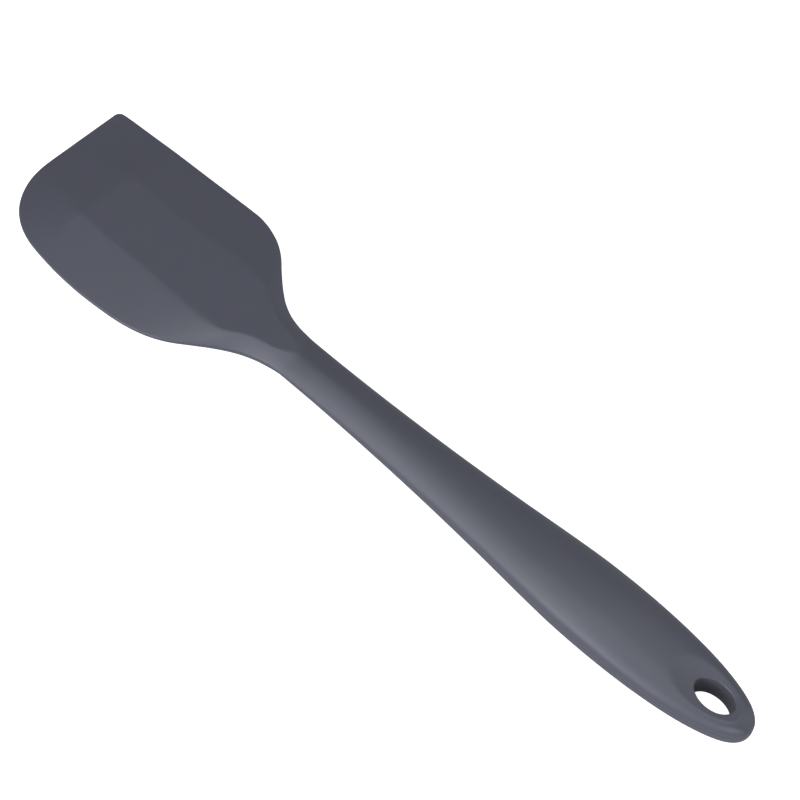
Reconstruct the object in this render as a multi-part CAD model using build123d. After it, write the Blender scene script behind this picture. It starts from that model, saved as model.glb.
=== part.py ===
from build123d import *
import math
import os

os.makedirs("parts", exist_ok=True)

# Lengths along the spatula, in millimetres, counted from the hanging end
grip_length = 50.0        # hanging end to the widest point of the grip
taper_length = 110.0      # widest point of the grip to the narrowest point of the neck
neck_length = 8.0         # narrowest point of the neck to the root of the blade
blade_length = 112.0      # root of the blade to its tip
tip_bevel_length = 25.0   # stretch over which the blade thins to its tip edge
end_round_length = 6.0    # stretch over which the hanging end is rounded from side to side

# Half widths and half thicknesses of the silicone
grip_half_width = 12.07
neck_half_width = 7.28
straight_half_width = 28.68  # the blade's straight side, at its widest
round_half_width = 29.58     # the blade's curved side, at its widest
grip_half_thickness = 7.1
neck_half_thickness = 3.42
tongue_rise = 0.08           # the blade's flat tongue stands this much above the neck's thinnest place
edge_half_thickness = 0.65   # the blade's thin rim

# Corners of the blade's tip
round_corner_length = 26.0   # rounded corner, along the spatula
tip_edge_start = 1.0         # where the straight tip edge begins, on the curved side
sharp_corner_radius = 2.1

# Hanging hole and the shallow dish around it
hole_from_end = 12.65
hole_length = 12.2
hole_width = 7.7
dish_radius = 64.0
dish_half_thickness = 4.45    # what the two dishes would leave at the hole's centre
hole_edge_radius = 0.5

# Steel strip inside the silicone, and the silicone that covers its edges
core_half_thickness = 0.8
core_hole_cover = 11.7       # between the hanging hole and the strip's tail
core_tongue_cover = 5.0      # between the strip's tip and the end of the flat tongue
core_grip_side_cover = 7.0
core_neck_side_cover = 3.0
core_tongue_side_cover = 2.0
core_tongue_corner = 4.0
core_tail_corner = 4.5
lock_hole_radius = 2.0
tongue_lock_hole_radius = 2.5

# Shared allowance for cutting tools that run past a surface
overrun = 5.0

# Share of the blade's half width that the flat tongue covers, and the roundness of the sections
tongue_width_share = 0.364
end_section_roundness = 2.9
grip_roundness = 2.3
blade_roundness = 1.0
end_roundness = 2.2
corner_roundness = 2.5

# Sections per stretch of the loft, and points on each section
section_points = 40
plateau_blend_share = 0.1

tongue_half_thickness = neck_half_thickness + tongue_rise
spatula_length = grip_length + taper_length + neck_length + blade_length
blade_root = grip_length + taper_length + neck_length
tongue_end = spatula_length - tip_bevel_length
middle_height = grip_half_thickness
bevel_height = tongue_half_thickness - edge_half_thickness
roof_half_thickness = edge_half_thickness + bevel_height / (1 - tongue_width_share)
plateau_blend = bevel_height * plateau_blend_share

# Side view of the grip: share of its length, share of its half thickness
grip_thickness_shares = [
    (0.0, 0.725), (0.12, 0.735), (0.26, 0.751), (0.4, 0.787), (0.54, 0.838),
    (0.7, 0.906), (0.84, 0.965), (1.0, 1.0),
]

# From the hanging end to the grip: share of its length, share of the end's extra squareness
end_square_shares = [(0.0, 1.0), (0.3, 0.9), (0.6, 0.35), (1.0, 0.0)]

# Taper from grip to neck: share of its length, share of the change still to come
taper_width_shares = [
    (0.0, 1.0), (0.045, 0.988), (0.09, 0.957), (0.18, 0.829), (0.27, 0.675), (0.36, 0.526),
    (0.45, 0.398), (0.55, 0.274), (0.64, 0.182), (0.73, 0.11), (0.82, 0.053), (0.91, 0.017),
    (1.0, 0.0),
]
taper_thickness_shares = [
    (0.0, 1.0), (0.13, 0.91), (0.26, 0.725), (0.4, 0.55), (0.54, 0.435), (0.68, 0.35),
    (0.8, 0.26), (0.92, 0.14), (1.0, 0.0),
]

# Blade outline: share of the blade's length, share of the flare beyond the neck
straight_side_shares = [
    (0.0, 0.0), (0.0625, 0.021), (0.107, 0.069), (0.152, 0.17), (0.196, 0.327), (0.241, 0.523),
    (0.286, 0.732), (0.321, 0.849), (0.357, 0.926), (0.393, 0.977), (0.429, 1.0), (0.536, 0.991),
    (0.643, 0.978), (0.75, 0.967), (0.857, 0.946), (0.964, 0.925), (1.0, 0.909),
]
round_side_shares = [
    (0.0, 0.0), (0.0625, 0.045), (0.107, 0.11), (0.152, 0.21), (0.196, 0.34), (0.241, 0.499),
    (0.286, 0.659), (0.321, 0.759), (0.357, 0.835), (0.393, 0.889), (0.429, 0.928), (0.464, 0.954),
    (0.5, 0.972), (0.536, 0.986), (0.607, 1.0), (0.679, 0.992), (0.75, 0.962), (0.786, 0.941),
    (0.857, 0.902), (0.929, 0.858), (1.0, 0.8),
]

# From neck to blade: share of the blade's length, share of the change of height
roof_shares = [
    (0.0, 0.0), (0.036, 0.28), (0.071, 0.58), (0.107, 0.68), (0.143, 0.93), (0.179, 1.5),
    (0.207, 1.84), (0.25, 1.58), (0.3, 1.34), (0.37, 1.2), (0.446, 1.06), (0.54, 1.0), (1.0, 1.0),
]

# From grip to tip: share of the length beyond the grip, share of the change of roundness
roundness_shares = [
    (0.0, 0.0), (0.109, 0.03), (0.174, 0.12), (0.239, 0.22), (0.304, 0.32), (0.37, 0.42),
    (0.435, 0.52), (0.478, 0.59), (0.522, 0.64), (0.565, 0.7), (0.6, 0.78), (0.635, 0.9),
    (0.67, 0.97), (0.704, 1.0), (1.0, 1.0),
]

# Places of the loft's sections, as shares of the grip, the taper with the neck, and the blade
grip_station_shares = [
    0.0004, 0.004, 0.012, 0.028, 0.056, 0.1, 0.15, 0.21, 0.28, 0.37, 0.48, 0.6, 0.72, 0.84,
    0.94, 1.0,
]
taper_station_shares = [
    0.0, 0.03, 0.08, 0.14, 0.21, 0.29, 0.37, 0.45, 0.53, 0.61, 0.69, 0.76, 0.82, 0.87, 0.91,
    0.945, 0.975,
]
blade_station_shares = [
    0.0, 0.036, 0.071, 0.107, 0.143, 0.179, 0.214, 0.25, 0.286, 0.321, 0.357, 0.393, 0.44, 0.5,
    0.56, 0.62, 0.68, 0.73, 0.76, 0.79, 0.82, 0.85, 0.88, 0.91, 0.935, 0.955, 0.972, 0.985,
    0.993, 0.998, 1.0,
]

# Steel strip in plan: share of its length, share of the change between named half widths
core_tail_shares = [(0.1, 1.0), (0.3, 0.8), (0.45, 0.3), (0.58, 0.0)]
core_flare_shares = [(0.66, 0.05), (0.74, 0.5), (0.82, 0.93), (0.88, 1.0)]
handle_lock_shares = [0.06, 0.2, 0.34, 0.48]
tongue_lock_shares = [0.82, 0.89, 0.95]


def along(rows, place):
    """Smooth curve through rows of (place, value), level at both ends, with no overshoot."""
    steps = [(b[0] - a[0], (b[1] - a[1]) / (b[0] - a[0])) for a, b in zip(rows, rows[1:])]
    slopes = [0.0 for _ in rows]
    for i in range(1, len(rows) - 1):
        (before, rise_in), (after, rise_out) = steps[i - 1], steps[i]
        if rise_in * rise_out > 0:
            weight_in = 2 * after + before
            weight_out = after + 2 * before
            slopes[i] = (weight_in + weight_out) / (weight_in / rise_in + weight_out / rise_out)
    place = min(max(place, rows[0][0]), rows[-1][0])
    i = 0
    while place > rows[i + 1][0]:
        i += 1
    step = steps[i][0]
    u = (place - rows[i][0]) / step
    blend = u * u * (3 - 2 * u)
    value = rows[i][1] * (1 - blend) + rows[i + 1][1] * blend
    return value + step * (slopes[i] * u * (1 - u) ** 2 - slopes[i + 1] * u * u * (1 - u))


def dome(share, roundness):
    """Rounded end that rises from nothing at share 0 to one at share 1."""
    return (1 - (1 - min(max(share, 0.0), 1.0)) ** roundness) ** (1 / roundness)


def soft_min(a, b, blend):
    """The lower of two heights, with a soft edge where they cross."""
    near = max(blend - abs(a - b), 0.0)
    return min(a, b) - (near * near / (4 * blend) if near else 0.0)


def handle_half_width(place):
    """Half width of the handle at a distance from the hanging end."""
    if place < grip_length:
        return grip_half_width * dome(place / grip_length, end_roundness)
    share = along(taper_width_shares, (place - grip_length) / taper_length)
    return neck_half_width + (grip_half_width - neck_half_width) * share


def half_widths(place):
    """Half width towards the straight side and towards the curved side."""
    if place <= blade_root:
        return handle_half_width(place), handle_half_width(place)
    share = (place - blade_root) / blade_length
    flare = along(straight_side_shares, share)
    straight = neck_half_width + (straight_half_width - neck_half_width) * flare
    beyond = place - (spatula_length - sharp_corner_radius)
    if beyond > 0:
        straight -= sharp_corner_radius * (1 - math.sqrt(1 - min(beyond / sharp_corner_radius, 1) ** 2))
    flare = along(round_side_shares, share)
    curved = neck_half_width + (round_half_width - neck_half_width) * flare
    beyond = place - (spatula_length - round_corner_length)
    if beyond > 0:
        corner = dome(1 - beyond / round_corner_length, corner_roundness)
        curved = tip_edge_start + (curved - tip_edge_start) * corner
    return straight, curved


def roof_height(place):
    """Half thickness of a section at its middle, before the tongue is cut flat."""
    if place < grip_length:
        body = grip_half_thickness * along(grip_thickness_shares, place / grip_length)
        rounding = dome(place / end_round_length, end_roundness)
        return edge_half_thickness + (body - edge_half_thickness) * rounding
    if place < blade_root:
        share = along(taper_thickness_shares, (place - grip_length) / (taper_length + neck_length))
        return neck_half_thickness + (grip_half_thickness - neck_half_thickness) * share
    share = along(roof_shares, (place - blade_root) / blade_length)
    roof = neck_half_thickness + (roof_half_thickness - neck_half_thickness) * share
    thinning = min((spatula_length - place) / tip_bevel_length, 1)
    return edge_half_thickness + (roof - edge_half_thickness) * thinning


def section_height(place, side):
    """Height of the top face above the middle plane, side running from -1 to 1 across."""
    share = along(roundness_shares, (place - grip_length) / (spatula_length - grip_length))
    roundness = grip_roundness + (blade_roundness - grip_roundness) * share
    squareness = along(end_square_shares, place / grip_length)
    roundness += (end_section_roundness - grip_roundness) * squareness
    rise = max(1 - abs(side) ** roundness, 0.0) ** (1 / roundness)
    roof = edge_half_thickness + (roof_height(place) - edge_half_thickness) * rise
    if place <= blade_root:
        return roof
    thinning = (spatula_length - place) / tip_bevel_length
    bevel = edge_half_thickness + bevel_height * thinning
    return soft_min(roof, bevel, plateau_blend * min(thinning, 1))


def from_end(place):
    """Place along X of a distance from the hanging end."""
    return spatula_length / 2 - place


def section(place):
    """Closed outline of the silicone across the spatula at one place."""
    straight, curved = half_widths(place)
    angles = [math.pi * i / section_points for i in range(section_points + 1)]
    top = []
    for angle in angles:
        side = math.cos(angle)
        reach = straight if side > 0 else curved
        top.append((from_end(place), reach * side, section_height(place, side)))
    marks = [i / section_points for i in range(section_points + 1)]
    upper = Edge.make_spline([Vector(x, y, z) for x, y, z in top], parameters=marks)
    lower = Edge.make_spline([Vector(x, y, -z) for x, y, z in reversed(top)], parameters=marks)
    curved_rim = Edge.make_line(upper @ 1, lower @ 0)
    straight_rim = Edge.make_line(lower @ 1, upper @ 0)
    return Wire([upper, curved_rim, lower, straight_rim])


def outer_form():
    """Silicone form before the tongue is cut flat and the hanging hole is made."""
    end = [grip_length * share for share in grip_station_shares]
    rest = [grip_length + (taper_length + neck_length) * share for share in taper_station_shares]
    rest += [blade_root + blade_length * share for share in blade_station_shares]
    grip = Solid.make_loft([section(place) for place in end])
    return grip + Solid.make_loft([section(place) for place in rest])


def tongue_cutter():
    """Block above the blade whose underside leaves the flat face of the tongue."""
    length = blade_length + overrun
    width = straight_half_width + round_half_width + overrun
    block = Box(length, width, overrun, align=(Align.MAX, Align.CENTER, Align.MIN))
    return Pos(from_end(blade_root), 0, tongue_half_thickness) * block


def hole_cutter():
    """Oval post that goes right through the hanging end."""
    outline = Pos(from_end(hole_from_end), 0) * Ellipse(hole_length / 2, hole_width / 2)
    return extrude(outline, grip_half_thickness + overrun, both=True)


def dish_cutter():
    """Ball that leaves the shallow dish round the hanging hole, on the top face."""
    return Pos(from_end(hole_from_end), 0, dish_half_thickness + dish_radius) * Sphere(dish_radius)


def hole_edges(body):
    """The two rims of the hanging hole, where its wall meets the dishes."""
    centre = Vector(from_end(hole_from_end), 0, 0)
    reach = hole_length / 2
    return [e for e in body.edges() if (Vector(*e.center(CenterOf.BOUNDING_BOX)) - centre).length < reach]


def steel_core():
    """Stamped strip with lock holes, which stiffens the handle and the tongue."""
    tail = hole_from_end + hole_length / 2 + core_hole_cover
    length = tongue_end - core_tongue_cover - tail
    tail_half = grip_half_width - core_grip_side_cover
    neck_half = neck_half_width - core_neck_side_cover
    blade_half = (straight_half_width + round_half_width) / 2
    tongue_half = blade_half * tongue_width_share - core_tongue_side_cover

    def place(share):
        return from_end(tail + length * share)

    side = [(place(0), tail_half)]
    for share, change in core_tail_shares:
        side.append((place(share), neck_half + (tail_half - neck_half) * change))
    for share, change in core_flare_shares:
        side.append((place(share), neck_half + (tongue_half - neck_half) * change))
    side.append((place(1), tongue_half))
    upper = Spline(side, tangents=[(-1, 0), (-1, 0)])
    tip = Line(side[-1], (side[-1][0], -side[-1][1]))
    lower = mirror(upper, Plane.XZ)
    end = Line((side[0][0], -side[0][1]), side[0])
    plan = make_face([upper, tip, lower, end])
    plan = fillet(plan.vertices().sort_by(Axis.X)[:2], core_tongue_corner)
    plan = fillet(plan.vertices().sort_by(Axis.X)[-2:], core_tail_corner)
    for share in handle_lock_shares:
        plan -= Pos(place(share), 0) * Circle(lock_hole_radius)
    for share in tongue_lock_shares:
        plan -= Pos(place(share), 0) * Circle(tongue_lock_hole_radius)
    return extrude(plan, core_half_thickness, both=True)


def silicone_body(core):
    """One-piece moulding of blade, neck and handle, with the strip's own space inside."""
    body = outer_form()
    for tool in (tongue_cutter(), dish_cutter()):
        body -= tool
        body -= mirror(tool, Plane.XY)
    body -= hole_cutter()
    body = fillet(hole_edges(body), hole_edge_radius)
    body -= core
    return body


core = steel_core()
body = silicone_body(core)
export_step(Pos(0, 0, middle_height) * body, "parts/silicone_body.step")
export_step(Pos(0, 0, middle_height) * core, "parts/steel_core.step")
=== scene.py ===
"""Silicone spatula: its moulded skin, the finish of silicone and steel, and a plain studio."""

import math

import bpy
from mathutils import Matrix, Vector


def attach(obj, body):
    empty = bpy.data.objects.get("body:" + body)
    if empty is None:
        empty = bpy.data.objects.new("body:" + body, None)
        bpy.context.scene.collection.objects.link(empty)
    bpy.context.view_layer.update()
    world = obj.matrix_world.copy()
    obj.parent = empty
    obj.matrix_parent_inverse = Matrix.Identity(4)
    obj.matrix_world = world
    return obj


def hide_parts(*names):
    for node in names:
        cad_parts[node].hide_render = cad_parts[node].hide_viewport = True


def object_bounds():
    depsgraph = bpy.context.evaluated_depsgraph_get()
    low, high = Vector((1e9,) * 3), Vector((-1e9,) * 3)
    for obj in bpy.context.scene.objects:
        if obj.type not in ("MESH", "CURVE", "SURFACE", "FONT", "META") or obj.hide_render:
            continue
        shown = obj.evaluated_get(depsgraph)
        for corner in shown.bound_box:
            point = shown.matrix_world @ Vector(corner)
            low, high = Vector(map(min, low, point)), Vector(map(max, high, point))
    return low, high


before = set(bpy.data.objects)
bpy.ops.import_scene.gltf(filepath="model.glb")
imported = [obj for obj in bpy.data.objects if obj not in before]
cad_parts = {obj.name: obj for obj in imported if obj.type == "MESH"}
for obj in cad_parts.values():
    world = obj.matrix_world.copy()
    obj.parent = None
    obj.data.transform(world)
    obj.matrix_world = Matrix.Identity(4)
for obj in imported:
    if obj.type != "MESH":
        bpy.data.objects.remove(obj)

cad_low, cad_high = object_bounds()

# Lengths along the spatula, in metres, counted from the hanging end
grip_length = 0.050
taper_length = 0.110
neck_length = 0.008
blade_length = 0.112
tip_bevel_length = 0.025
end_round_length = 0.006

# Half widths and half thicknesses of the silicone, in metres
grip_half_width = 0.01207
neck_half_width = 0.00728
straight_half_width = 0.02868
round_half_width = 0.02958
grip_half_thickness = 0.0071
neck_half_thickness = 0.00342
tongue_rise = 0.00008
edge_half_thickness = 0.00065

# Corners of the blade's tip
round_corner_length = 0.026
tip_edge_start = 0.001
sharp_corner_radius = 0.0021

# Hanging hole and the shallow dish around it
hole_from_end = 0.01265
hole_length = 0.0122
hole_width = 0.0077
dish_radius = 0.064
dish_half_thickness = 0.00445

# Softness of the moulded edges
rim_round = 0.0004           # rounding of the blade's thin rim
lip_round = 0.00045          # rounding of the hole's two lips
ridge_blend = 0.0001         # height over which the tongue's ridges are eased
dish_blend = 0.00012         # height over which the dish's border is eased
seam_rise = 0.00003          # mould's parting line, proud of the rim
seam_half_width = 0.00012

# Shares and roundness of the sections
tongue_width_share = 0.364
end_section_roundness = 2.9
grip_roundness = 2.3
blade_roundness = 1.0
end_roundness = 2.2
corner_roundness = 2.5
plateau_blend_share = 0.1

tongue_half_thickness = neck_half_thickness + tongue_rise
blade_root = grip_length + taper_length + neck_length
spatula_length = blade_root + blade_length
bevel_height = tongue_half_thickness - edge_half_thickness
roof_half_thickness = edge_half_thickness + bevel_height / (1 - tongue_width_share)
plateau_blend = bevel_height * plateau_blend_share
middle_height = (cad_low.z + cad_high.z) / 2

# Side view of the grip: share of its length, share of its half thickness
grip_thickness_shares = [
    (0.0, 0.725), (0.12, 0.735), (0.26, 0.751), (0.4, 0.787), (0.54, 0.838),
    (0.7, 0.906), (0.84, 0.965), (1.0, 1.0),
]

# From the hanging end to the grip: share of its length, share of the end's extra squareness
end_square_shares = [(0.0, 1.0), (0.3, 0.9), (0.6, 0.35), (1.0, 0.0)]

# Taper from grip to neck: share of its length, share of the change still to come
taper_width_shares = [
    (0.0, 1.0), (0.045, 0.988), (0.09, 0.957), (0.18, 0.829), (0.27, 0.675), (0.36, 0.526),
    (0.45, 0.398), (0.55, 0.274), (0.64, 0.182), (0.73, 0.11), (0.82, 0.053), (0.91, 0.017),
    (1.0, 0.0),
]
taper_thickness_shares = [
    (0.0, 1.0), (0.13, 0.91), (0.26, 0.725), (0.4, 0.55), (0.54, 0.435), (0.68, 0.35),
    (0.8, 0.26), (0.92, 0.14), (1.0, 0.0),
]

# Blade outline: share of the blade's length, share of the flare beyond the neck
straight_side_shares = [
    (0.0, 0.0), (0.0625, 0.021), (0.107, 0.069), (0.152, 0.17), (0.196, 0.327), (0.241, 0.523),
    (0.286, 0.732), (0.321, 0.849), (0.357, 0.926), (0.393, 0.977), (0.429, 1.0), (0.536, 0.991),
    (0.643, 0.978), (0.75, 0.967), (0.857, 0.946), (0.964, 0.925), (1.0, 0.909),
]
round_side_shares = [
    (0.0, 0.0), (0.0625, 0.045), (0.107, 0.11), (0.152, 0.21), (0.196, 0.34), (0.241, 0.499),
    (0.286, 0.659), (0.321, 0.759), (0.357, 0.835), (0.393, 0.889), (0.429, 0.928), (0.464, 0.954),
    (0.5, 0.972), (0.536, 0.986), (0.607, 1.0), (0.679, 0.992), (0.75, 0.962), (0.786, 0.941),
    (0.857, 0.902), (0.929, 0.858), (1.0, 0.8),
]

# From neck to blade: share of the blade's length, share of the change of height
roof_shares = [
    (0.0, 0.0), (0.036, 0.28), (0.071, 0.58), (0.107, 0.68), (0.143, 0.93), (0.179, 1.5),
    (0.207, 1.84), (0.25, 1.58), (0.3, 1.34), (0.37, 1.2), (0.446, 1.06), (0.54, 1.0), (1.0, 1.0),
]

# From grip to tip: share of the length beyond the grip, share of the change of roundness
roundness_shares = [
    (0.0, 0.0), (0.109, 0.03), (0.174, 0.12), (0.239, 0.22), (0.304, 0.32), (0.37, 0.42),
    (0.435, 0.52), (0.478, 0.59), (0.522, 0.64), (0.565, 0.7), (0.6, 0.78), (0.635, 0.9),
    (0.67, 0.97), (0.704, 1.0), (1.0, 1.0),
]

# From neck to blade: share of the blade's length, how far the rim is that of the blade
blade_rim_shares = [
    (0.0, 0.0), (0.036, 0.08), (0.107, 0.35), (0.179, 0.66), (0.25, 0.89), (0.321, 0.98),
    (0.393, 1.0), (1.0, 1.0),
]

# How finely the skin is laid out
end_patch_length = 0.030     # hanging end, laid out in rays round the hole
tip_patch_length = 0.044     # blade's tip, laid out to follow its rounded corner
row_step = 0.0010            # between rows along the handle and the blade
end_outline_steps = 72       # round the hanging end
ray_steps = 22               # from the hole to the outline
round_steps = 5              # round each rim and lip
wall_steps = 4               # down the hole's wall
tip_rows = 52
tip_crowding = 0.8           # how much closer the rows lie towards the tip edge
line_steps = 1500            # along each fine line that the outline is spaced from
corner_turn_share = 0.5      # part of the rounded corner that belongs to the blade's side

# Columns across one half of the skin, as shares of its half width
column_shares = [
    0.0, 0.065, 0.13, 0.195, 0.255, 0.31, 0.341, 0.3525, 0.364, 0.3755, 0.387, 0.42, 0.465,
    0.515, 0.57, 0.625, 0.68, 0.735, 0.785, 0.83, 0.87, 0.905, 0.935, 0.96, 0.981, 1.0,
]


def along(rows, place):
    """Smooth curve through rows of (place, value), level at both ends, with no overshoot."""
    steps = [(b[0] - a[0], (b[1] - a[1]) / (b[0] - a[0])) for a, b in zip(rows, rows[1:])]
    slopes = [0.0 for _ in rows]
    for i in range(1, len(rows) - 1):
        (before, rise_in), (after, rise_out) = steps[i - 1], steps[i]
        if rise_in * rise_out > 0:
            weight_in = 2 * after + before
            weight_out = after + 2 * before
            slopes[i] = (weight_in + weight_out) / (weight_in / rise_in + weight_out / rise_out)
    place = min(max(place, rows[0][0]), rows[-1][0])
    i = 0
    while place > rows[i + 1][0]:
        i += 1
    step = steps[i][0]
    u = (place - rows[i][0]) / step
    blend = u * u * (3 - 2 * u)
    value = rows[i][1] * (1 - blend) + rows[i + 1][1] * blend
    return value + step * (slopes[i] * u * (1 - u) ** 2 - slopes[i + 1] * u * u * (1 - u))


def dome(share, roundness):
    """Rounded end that rises from nothing at share 0 to one at share 1."""
    return (1 - (1 - min(max(share, 0.0), 1.0)) ** roundness) ** (1 / roundness)


def soft_min(a, b, blend):
    """The lower of two heights, with a soft edge where they cross."""
    near = max(blend - abs(a - b), 0.0)
    return min(a, b) - (near * near / (4 * blend) if near else 0.0)


def handle_half_width(place):
    """Half width of the handle at a distance from the hanging end."""
    if place < grip_length:
        return grip_half_width * dome(place / grip_length, end_roundness)
    share = along(taper_width_shares, (place - grip_length) / taper_length)
    return neck_half_width + (grip_half_width - neck_half_width) * share


def half_widths(place):
    """Half width towards the straight side and towards the curved side."""
    if place <= blade_root:
        return handle_half_width(place), handle_half_width(place)
    share = (place - blade_root) / blade_length
    flare = along(straight_side_shares, share)
    straight = neck_half_width + (straight_half_width - neck_half_width) * flare
    beyond = place - (spatula_length - sharp_corner_radius)
    if beyond > 0:
        turned = min(beyond / sharp_corner_radius, 1.0)
        straight -= sharp_corner_radius * (1 - math.sqrt(1 - turned**2))
    flare = along(round_side_shares, share)
    curved = neck_half_width + (round_half_width - neck_half_width) * flare
    beyond = place - (spatula_length - round_corner_length)
    if beyond > 0:
        corner = dome(1 - beyond / round_corner_length, corner_roundness)
        curved = tip_edge_start + (curved - tip_edge_start) * corner
    return straight, curved


def roof_height(place):
    """Half thickness of a section at its middle, before the tongue is taken flat."""
    if place < grip_length:
        body = grip_half_thickness * along(grip_thickness_shares, place / grip_length)
        rounding = dome(place / end_round_length, end_roundness)
        return edge_half_thickness + (body - edge_half_thickness) * rounding
    if place < blade_root:
        share = along(taper_thickness_shares, (place - grip_length) / (taper_length + neck_length))
        return neck_half_thickness + (grip_half_thickness - neck_half_thickness) * share
    share = along(roof_shares, (place - blade_root) / blade_length)
    roof = neck_half_thickness + (roof_half_thickness - neck_half_thickness) * share
    thinning = min((spatula_length - place) / tip_bevel_length, 1)
    return edge_half_thickness + (roof - edge_half_thickness) * thinning


def bladeness(place):
    """0 on the handle, 1 where the rim is the blade's thin one."""
    return along(blade_rim_shares, (place - blade_root) / blade_length)


def section_height(place, side):
    """Height of the top face above the middle plane, side running from -1 to 1 across."""
    share = along(roundness_shares, (place - grip_length) / (spatula_length - grip_length))
    roundness = grip_roundness + (blade_roundness - grip_roundness) * share
    squareness = along(end_square_shares, place / grip_length)
    roundness += (end_section_roundness - grip_roundness) * squareness
    rise = max(1 - abs(side) ** roundness, 0.0) ** (1 / roundness)
    roof = edge_half_thickness + (roof_height(place) - edge_half_thickness) * rise
    if place <= blade_root:
        return roof
    thinning = (spatula_length - place) / tip_bevel_length
    bevel = edge_half_thickness + bevel_height * thinning
    roof = soft_min(roof, bevel, plateau_blend * min(thinning, 1))
    return soft_min(roof, tongue_half_thickness, ridge_blend)


def dish_height(place, across):
    """Height of the shallow dish round the hanging hole."""
    away = min(math.hypot(place - hole_from_end, across), dish_radius)
    return dish_half_thickness + dish_radius - math.sqrt(dish_radius**2 - away**2)


def skin_height(place, across):
    """Height of the skin's top face above the middle plane at any point of its plan."""
    straight, curved = half_widths(place)
    reach = straight if across > 0 else curved
    height = section_height(place, across / reach if reach else 0.0)
    if place < grip_length:
        height = soft_min(height, dish_height(place, across), dish_blend)
    return height


def spaced(line, shares):
    """Points at shares of the length of a fine line in plan."""
    run = [0.0]
    for a, b in zip(line, line[1:]):
        run.append(run[-1] + math.dist(a, b))
    points, i = [], 0
    for share in shares:
        goal = share * run[-1]
        while i < len(run) - 2 and run[i + 1] < goal:
            i += 1
        u = (goal - run[i]) / (run[i + 1] - run[i])
        points.append(tuple(p + (q - p) * u for p, q in zip(line[i], line[i + 1])))
    return points


def side_line(start, end, side):
    """Fine line along one side of the blade in plan; side 0 is the straight one, 1 the curved one."""
    sign = -1 if side else 1
    places = [start + (end - start) * i / line_steps for i in range(line_steps + 1)]
    return [(place, sign * half_widths(place)[side]) for place in places]


def tip_lines(start):
    """Outline of the blade's tip as three fine lines: curved side, tip edge and straight side."""
    corner_start = spatula_length - round_corner_length
    side_share = math.sin(math.pi / 2 * corner_turn_share)
    curved_line = side_line(start, corner_start + round_corner_length * side_share, 1)
    first = math.asin(side_share)
    turns = [first + (math.pi / 2 - first) * i / line_steps for i in range(line_steps + 1)]
    round_corner = [corner_start + round_corner_length * math.sin(turn) for turn in turns]
    tip_line = [(place, -half_widths(place)[1]) for place in round_corner]
    sharp_start = spatula_length - sharp_corner_radius
    turns = [math.pi / 2 - math.pi / 4 * i / line_steps for i in range(line_steps + 1)]
    sharp_corner = [sharp_start + sharp_corner_radius * math.sin(turn) for turn in turns]
    tip_line += [(place, half_widths(place)[0]) for place in sharp_corner]
    return curved_line, tip_line, side_line(start, sharp_corner[-1], 0)


def eased(steps, ease):
    """Shares from 0 to 1 that crowd together towards 1, the more so the larger ease is."""
    return [(1 + ease) * i / steps - ease * (i / steps) ** 2 for i in range(steps + 1)]


def inset(outline, amount):
    """A closed outline moved inwards by an amount, point by point."""
    moved = []
    for i, (place, across) in enumerate(outline):
        before, after = outline[i - 1], outline[(i + 1) % len(outline)]
        run, rise = after[0] - before[0], after[1] - before[1]
        length = math.hypot(run, rise)
        moved.append((place - amount * rise / length, across + amount * run / length))
    return moved


def end_outline():
    """Outline of the hanging end in plan, from the straight side round to the curved side."""
    first = math.acos((1 - end_patch_length / grip_length) ** (end_roundness / 2))
    line = []
    for i in range(1, end_outline_steps):
        turn = first * (1 - 2 * i / end_outline_steps)
        place = grip_length * (1 - math.cos(turn) ** (2 / end_roundness))
        line.append((place, math.copysign(handle_half_width(place), turn)))
    return line


def plan_outline(sides, places, tip_shares):
    """Closed outline in plan, the curved side first, and how many points each long side has."""
    curved_line, tip_line, straight_line = tip_lines(places[-1])
    curved_side = [(place, -half_widths(place)[1]) for place in places]
    curved_side += spaced(curved_line, tip_shares)[1:]
    straight_side = [(place, half_widths(place)[0]) for place in places]
    straight_side += spaced(straight_line, tip_shares)[1:]
    tip_edge = spaced(tip_line, [(1 + side) / 2 for side in sides])
    return curved_side + tip_edge[1:-1] + straight_side[::-1] + end_outline(), len(curved_side)


def row_point(left, right, side):
    """Point of a straight row across the skin, side running from -1 to 1."""
    across = left[1] * -side if side < 0 else right[1] * side
    share = (1 + side) / 2
    return left[0] * (1 - share) + right[0] * share, across


def tip_point(left, right, first, last, column, u, v):
    """Point of the tip's patch, drawn from its two sides, its first row and the tip edge."""
    point = []
    for k in range(2):
        edges = (1 - v) * left[k] + v * right[k] + (1 - u) * first[column][k] + u * last[column][k]
        low = (1 - v) * first[0][k] + v * first[-1][k]
        high = (1 - v) * last[0][k] + v * last[-1][k]
        point.append(edges - (1 - u) * low - u * high)
    return tuple(point)


class Skin:
    """Points and faces of the silicone's skin."""

    def __init__(self):
        self.points = []
        self.faces = []

    def add(self, points):
        """Take in a line of points and give back their numbers."""
        first = len(self.points)
        self.points += points
        return list(range(first, len(self.points)))

    def add_top(self, plan):
        """Take in points of the top face from their places in plan."""
        return self.add([(*point, skin_height(*point)) for point in plan])

    def strip(self, upper, lower, closed=False):
        """Faces between two lines of as many points."""
        count = len(upper) if closed else len(upper) - 1
        for i in range(count):
            j = (i + 1) % len(upper)
            self.faces.append((upper[i], lower[i], lower[j], upper[j]))

    def bands(self, upper, lines):
        """Closed bands of faces from one ring to the next; gives back the last ring."""
        for line in lines:
            lower = self.add(line)
            self.strip(upper, lower, closed=True)
            upper = lower
        return upper


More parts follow.
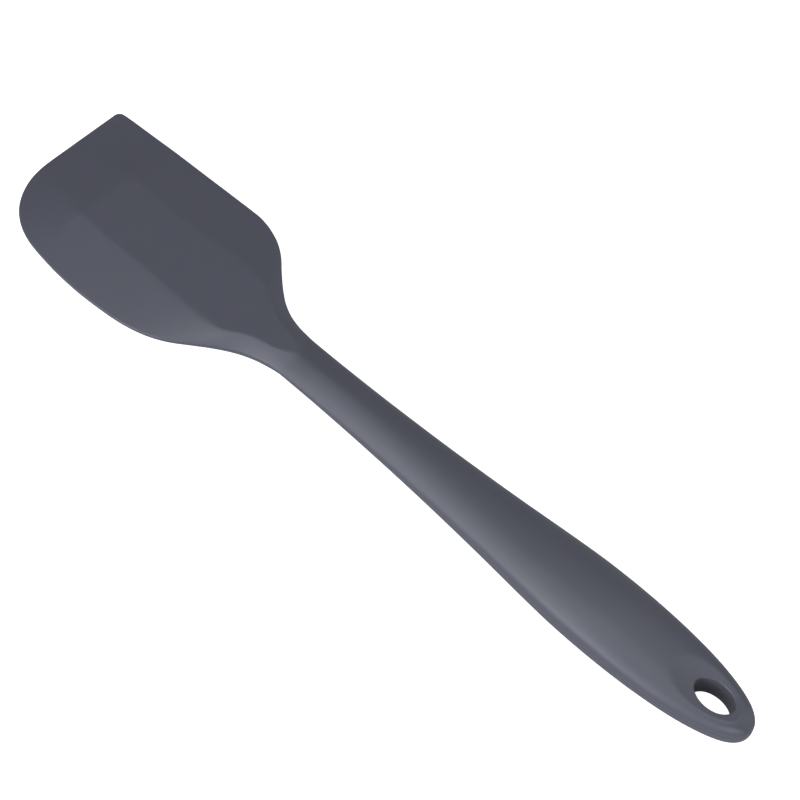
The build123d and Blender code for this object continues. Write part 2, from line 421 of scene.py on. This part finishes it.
def top_face(skin, curved, tip, straight, sides, tip_shares):
    """Handle and blade from the hanging end's patch to the tip, as rows of points."""
    grid = []
    last_plain = len(curved) - len(tip_shares)
    first = [row_point(curved[last_plain], straight[last_plain], side) for side in sides]
    for i, (left, right) in enumerate(zip(curved, straight)):
        if i <= last_plain:
            row = [row_point(left, right, side) for side in sides]
        else:
            u = tip_shares[i - last_plain]
            row = [
                tip_point(left, right, first, tip, column, u, (1 + side) / 2)
                for column, side in enumerate(sides)
            ]
        grid.append(skin.add_top(row))
    for near, far in zip(grid, grid[1:]):
        skin.strip(far, near)
    return grid


def hole_line(angles, beyond):
    """The hole's outline in plan, or one a little beyond it, at a set of angles."""
    long_reach = hole_length / 2 + beyond
    wide_reach = hole_width / 2 + beyond
    return [(hole_from_end + long_reach * math.cos(a), wide_reach * math.sin(a)) for a in angles]


def quarter_turns():
    """Angles of the steps round a rim or a lip."""
    return [math.pi / 2 * i / round_steps for i in range(1, round_steps + 1)]


def hanging_end(skin, border):
    """Hanging end in rays from its border to the hole; gives back the hole's ring and angles."""
    patch_half_width = handle_half_width(end_patch_length)
    patch_reach = end_patch_length - hole_from_end
    starts = [skin.points[index][:2] for index in border]
    angles = [
        math.atan2(across / patch_half_width, (place - hole_from_end) / patch_reach)
        for place, across in starts
    ]
    lip = hole_line(angles, lip_round)
    ring = border
    for i in range(1, ray_steps + 1):
        share = (1 - math.cos(math.pi * i / ray_steps)) / 2
        plan = [
            (a[0] + (b[0] - a[0]) * share, a[1] + (b[1] - a[1]) * share)
            for a, b in zip(starts, lip)
        ]
        step = skin.add_top(plan)
        skin.strip(ring, step, closed=True)
        ring = step
    return ring, angles


def hole_lip(skin, ring, angles):
    """Lip of the hole, rolled over into its wall."""
    heights = [skin.points[index][2] for index in ring]
    lines = []
    for turn in quarter_turns():
        plan = hole_line(angles, lip_round * (1 - math.sin(turn)))
        drop = lip_round * (1 - math.cos(turn))
        lines.append([(*point, height - drop) for point, height in zip(plan, heights)])
    return skin.bands(ring, lines)


def rolled_rim(skin, rim, wall):
    """Rim of the outline, rolled over towards the parting line."""
    starts = [skin.points[index] for index in rim]
    thin = edge_half_thickness - rim_round
    for turn in quarter_turns():
        out = math.sin(turn)
        line = []
        for (place, across, height), (wall_place, wall_across) in zip(starts, wall):
            point = place + (wall_place - place) * out, across + (wall_across - across) * out
            rolled = thin + (height - thin) * math.cos(turn)
            share = bladeness(place)
            line.append((*point, rolled * share + skin_height(*point) * (1 - share)))
        step = skin.add(line)
        skin.strip(step, rim, closed=True)
        rim = step
    return rim


def mirror_underside(skin):
    """Underside as the mirror image of the top; gives back how far its numbers are ahead."""
    ahead = len(skin.points)
    skin.add([(place, across, -height) for place, across, height in skin.points])
    skin.faces += [tuple(index + ahead for index in reversed(face)) for face in skin.faces]
    return ahead


def rim_wall(skin, rim, ahead, outline, wall):
    """Wall of the rim with the parting line round its middle."""
    upper = rim
    for plan, height in ((wall, seam_half_width), (outline, 0.0), (wall, -seam_half_width)):
        step = skin.add([(*point, height) for point in plan])
        skin.strip(step, upper, closed=True)
        upper = step
    skin.strip([index + ahead for index in rim], upper, closed=True)


def hole_wall(skin, ring, ahead):
    """Wall of the hanging hole, from the upper lip to the lower one."""
    top = [skin.points[index] for index in ring]
    levels = [1 - 2 * i / wall_steps for i in range(1, wall_steps)]
    lines = [[(place, across, height * level) for place, across, height in top] for level in levels]
    upper = skin.bands(ring, lines)
    skin.strip(upper, [index + ahead for index in ring], closed=True)


def silicone_skin():
    """The whole moulding: both faces, the rounded rim with its parting line, and the hole."""
    sides = [-share for share in reversed(column_shares[1:])] + column_shares
    run = spatula_length - tip_patch_length - end_patch_length
    row_count = round(run / row_step)
    places = [end_patch_length + run * i / row_count for i in range(row_count + 1)]
    tip_shares = eased(tip_rows, tip_crowding)
    outline, rows = plan_outline(sides, places, tip_shares)
    inner = inset(outline, rim_round)
    wall = inset(outline, seam_rise)
    tip_start = rows - 1
    straight_start = tip_start + len(sides) - 1
    end_start = straight_start + rows
    curved = inner[:rows]
    tip = inner[tip_start:straight_start + 1]
    straight = inner[straight_start:end_start][::-1]

    skin = Skin()
    grid = top_face(skin, curved, tip, straight, sides, tip_shares)
    end_rim = skin.add_top(inner[end_start:])
    ring, angles = hanging_end(skin, grid[0] + end_rim)
    hole_ring = hole_lip(skin, ring, angles)
    rim = [row[0] for row in grid] + grid[-1][1:-1] + [row[-1] for row in grid[::-1]] + end_rim
    rim = rolled_rim(skin, rim, wall)
    ahead = mirror_underside(skin)
    rim_wall(skin, rim, ahead, outline, wall)
    hole_wall(skin, hole_ring, ahead)
    return skin


def skin_object():
    """The skin as a smooth mesh in the frame."""
    skin = silicone_skin()
    corners = [
        (cad_low.x + spatula_length - place, across, middle_height + height)
        for place, across, height in skin.points
    ]
    mesh = bpy.data.meshes.new("silicone_skin")
    mesh.from_pydata(corners, [], skin.faces)
    mesh.validate()
    mesh.shade_smooth()
    piece = bpy.data.objects.new("silicone_skin", mesh)
    bpy.context.scene.collection.objects.link(piece)
    return piece


# Finish of the silicone
silicone_color = (0.0894, 0.0912, 0.1106)
silicone_rough = 0.4
silicone_rough_spread = 0.05
silicone_tone_spread = 0.05
silicone_patch_size = 0.006
silicone_grain_size = 0.00045
silicone_grain_depth = 0.000003

# Finish of the stamped steel strip
steel_color = (0.56, 0.57, 0.58)
steel_rough = 0.34
steel_rough_spread = 0.16
steel_tone_spread = 0.12
steel_patch_size = 0.003
steel_grain_size = 0.0004
steel_grain_depth = 0.000006
brushing_stretch = 0.03      # how far the brushed marks are drawn out along the strip

# Detail of the noise in the two shared effects
patch_detail = 3.0
grain_detail = 2.0


def new_group(name, inputs, outputs):
    """Empty node group with named sockets, and its two end nodes."""
    group = bpy.data.node_groups.new(name, "ShaderNodeTree")
    for label, kind in inputs:
        group.interface.new_socket(label, in_out="INPUT", socket_type=kind)
    for label, kind in outputs:
        group.interface.new_socket(label, in_out="OUTPUT", socket_type=kind)
    return group, group.nodes.new("NodeGroupInput"), group.nodes.new("NodeGroupOutput")


def math_node(nodes, operation, *values):
    """Math node whose inputs are numbers or other nodes' sockets."""
    node = nodes.new("ShaderNodeMath")
    node.operation = operation
    for socket, value in zip(node.inputs, values):
        if isinstance(value, bpy.types.NodeSocket):
            nodes.id_data.links.new(value, socket)
        else:
            socket.default_value = value
    return node.outputs[0]


def noise_node(nodes, place, size, detail):
    """Soft noise over the surface, with patches about as large as size."""
    node = nodes.new("ShaderNodeTexNoise")
    node.inputs["Detail"].default_value = detail
    links = nodes.id_data.links
    links.new(place, node.inputs["Vector"])
    links.new(math_node(nodes, "DIVIDE", 1.0, size), node.inputs["Scale"])
    return node.outputs["Fac"]


def uneven_tone_group():
    """Patches where the colour and the gloss are a little stronger or weaker."""
    group, start, end = new_group(
        "uneven_tone",
        [
            ("Place", "NodeSocketVector"), ("Color", "NodeSocketColor"), ("Rough", "NodeSocketFloat"),
            ("Patch Size", "NodeSocketFloat"), ("Tone Spread", "NodeSocketFloat"),
            ("Rough Spread", "NodeSocketFloat"),
        ],
        [("Color", "NodeSocketColor"), ("Roughness", "NodeSocketFloat")],
    )
    nodes, links = group.nodes, group.links
    patches = noise_node(nodes, start.outputs["Place"], start.outputs["Patch Size"], patch_detail)
    centred = math_node(nodes, "SUBTRACT", patches, 0.5)
    change = math_node(nodes, "MULTIPLY", centred, start.outputs["Tone Spread"])
    tone = nodes.new("ShaderNodeVectorMath")
    tone.operation = "SCALE"
    links.new(start.outputs["Color"], tone.inputs[0])
    links.new(math_node(nodes, "ADD", 1.0, change), tone.inputs["Scale"])
    links.new(tone.outputs[0], end.inputs["Color"])
    gloss = math_node(nodes, "MULTIPLY", centred, start.outputs["Rough Spread"])
    links.new(math_node(nodes, "ADD", gloss, start.outputs["Rough"]), end.inputs["Roughness"])
    return group


def fine_grain_group():
    """Tiny bumps of the mould's or the brush's surface, as a height in metres."""
    group, start, end = new_group(
        "fine_grain",
        [
            ("Place", "NodeSocketVector"), ("Grain Size", "NodeSocketFloat"),
            ("Depth", "NodeSocketFloat"),
        ],
        [("Height", "NodeSocketFloat")],
    )
    nodes = group.nodes
    grain = noise_node(nodes, start.outputs["Place"], start.outputs["Grain Size"], grain_detail)
    height = math_node(nodes, "MULTIPLY", grain, start.outputs["Depth"])
    group.links.new(height, end.inputs["Height"])
    return group


uneven_tone = uneven_tone_group()
fine_grain = fine_grain_group()


def surface(name, color, rough, patch_size, spreads, grain, metallic=0.0, stretch=None):
    """Material with uneven tone and fine grain; stretch draws both out along X."""
    made = bpy.data.materials.new(name)
    made.use_nodes = True
    nodes, links = made.node_tree.nodes, made.node_tree.links
    shader = nodes["Principled BSDF"]
    shader.inputs["Metallic"].default_value = metallic
    place = nodes.new("ShaderNodeTexCoord").outputs["Object"]
    if stretch:
        mapping = nodes.new("ShaderNodeMapping")
        mapping.inputs["Scale"].default_value = (stretch, 1, 1)
        links.new(place, mapping.inputs["Vector"])
        place = mapping.outputs["Vector"]

    tone = nodes.new("ShaderNodeGroup")
    tone.node_tree = uneven_tone
    tone.inputs["Color"].default_value = (*color, 1)
    tone.inputs["Rough"].default_value = rough
    tone.inputs["Patch Size"].default_value = patch_size
    tone.inputs["Tone Spread"].default_value, tone.inputs["Rough Spread"].default_value = spreads
    links.new(place, tone.inputs["Place"])
    links.new(tone.outputs["Color"], shader.inputs["Base Color"])
    links.new(tone.outputs["Roughness"], shader.inputs["Roughness"])

    bumps = nodes.new("ShaderNodeGroup")
    bumps.node_tree = fine_grain
    bumps.inputs["Grain Size"].default_value, bumps.inputs["Depth"].default_value = grain
    links.new(place, bumps.inputs["Place"])
    bump = nodes.new("ShaderNodeBump")
    links.new(bumps.outputs["Height"], bump.inputs["Height"])
    links.new(bump.outputs["Normal"], shader.inputs["Normal"])
    return made


silicone = surface(
    "moulded_silicone", silicone_color, silicone_rough, silicone_patch_size,
    (silicone_tone_spread, silicone_rough_spread), (silicone_grain_size, silicone_grain_depth),
)
brushed_steel = surface(
    "brushed_steel", steel_color, steel_rough, steel_patch_size,
    (steel_tone_spread, steel_rough_spread), (steel_grain_size, steel_grain_depth),
    metallic=1.0, stretch=brushing_stretch,
)

silicone_piece = skin_object()
silicone_piece.data.materials.append(silicone)
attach(silicone_piece, "root")
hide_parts("silicone_body")

core = bpy.data.objects["steel_core"]
core.data.materials.clear()
core.data.materials.append(brushed_steel)

# Camera at the photograph's viewing angle
camera_azimuth = math.radians(44.38)
camera_elevation = math.radians(57.47)
camera_roll = math.radians(-0.25)
camera_distance = 0.51
camera_target = Vector((0.00293, 0.01061, middle_height))
camera_lens = 78.79          # in millimetres, for a picture of camera_film across
camera_film = 36
camera_near = 0.01


def photo_camera():
    """Camera that sees the spatula as the photograph does."""
    back = Vector((
        math.sin(camera_azimuth) * math.cos(camera_elevation),
        -math.cos(camera_azimuth) * math.cos(camera_elevation),
        math.sin(camera_elevation),
    ))
    level = Vector((math.cos(camera_azimuth), math.sin(camera_azimuth), 0))
    upright = back.cross(level)
    right = level * math.cos(camera_roll) + upright * math.sin(camera_roll)
    up = back.cross(right)
    lens = bpy.data.cameras.new("photo_camera")
    lens.lens = camera_lens
    lens.sensor_width = camera_film
    lens.clip_start = camera_near
    made = bpy.data.objects.new("photo_camera", lens)
    place = camera_target + back * camera_distance
    made.matrix_world = Matrix.Translation(place) @ Matrix((right, up, back)).transposed().to_4x4()
    bpy.context.scene.collection.objects.link(made)
    bpy.context.scene.camera = made


photo_camera()

# Studio: soft round lamps by name, azimuth, elevation, size and watts
lamp_distance = 1.5
lamp_color = (0.98, 1.005, 1.084)
lamps = [
    ("low_front", 320, 8, 1.6, 14.2),
    ("left_edge", 260, 15, 0.8, 6.35),
    ("low_right", 40, 12, 1.6, 5.59),
    ("low_side", 80, 12, 1.6, 2.1),
    ("low_back", 120, 12, 1.6, 1.71),
    ("left_soft", 250, 38, 1.2, 7.94),
    ("high_left", 225, 62, 1.2, 5.25),
    ("high_right", 60, 62, 1.6, 4.13),
    ("overhead", 0, 89, 0.8, 2.48),
]
floor_half = 6.0
floor_color = (0.6, 0.6, 0.6)
floor_rough = 0.9
floor_lift = 1.0             # lightens the floor's look to white and adds no light to the spatula


def soft_lamp(name, azimuth, elevation, size, watts):
    """Round soft lamp that faces the spatula."""
    azimuth, elevation = math.radians(azimuth), math.radians(elevation)
    level = math.cos(elevation)
    away = Vector((math.cos(azimuth) * level, math.sin(azimuth) * level, math.sin(elevation)))
    light = bpy.data.lights.new(name, "AREA")
    light.shape = "DISK"
    light.size = size
    light.energy = watts
    light.color = lamp_color
    lamp = bpy.data.objects.new(name, light)
    lamp.location = away * lamp_distance
    lamp.rotation_mode = "QUATERNION"
    lamp.rotation_quaternion = away.to_track_quat("Z", "Y")
    bpy.context.scene.collection.objects.link(lamp)


def white_floor():
    """Plain pale floor that looks white, and the dark room above it."""
    mesh = bpy.data.meshes.new("floor")
    across = (-floor_half, floor_half)
    corners = [(x, y, 0.0) for y in across for x in across]
    mesh.from_pydata(corners, [], [(0, 1, 3, 2)])
    floor = bpy.data.objects.new("floor", mesh)
    bpy.context.scene.collection.objects.link(floor)
    made = bpy.data.materials.new("pale_floor")
    made.use_nodes = True
    nodes = made.node_tree.nodes
    shader = nodes["Principled BSDF"]
    shader.inputs["Base Color"].default_value = (*floor_color, 1)
    shader.inputs["Roughness"].default_value = floor_rough
    shader.inputs["Emission Color"].default_value = (1, 1, 1, 1)
    seen = nodes.new("ShaderNodeLightPath").outputs["Is Camera Ray"]
    lift = math_node(nodes, "MULTIPLY", seen, floor_lift)
    made.node_tree.links.new(lift, shader.inputs["Emission Strength"])
    mesh.materials.append(made)
    world = bpy.data.worlds.new("room")
    world.use_nodes = True
    world.node_tree.nodes["Background"].inputs["Strength"].default_value = 0
    bpy.context.scene.world = world


for name, azimuth, elevation, size, watts in lamps:
    soft_lamp(name, azimuth, elevation, size, watts)
white_floor()
bpy.context.scene.view_settings.view_transform = "Standard"
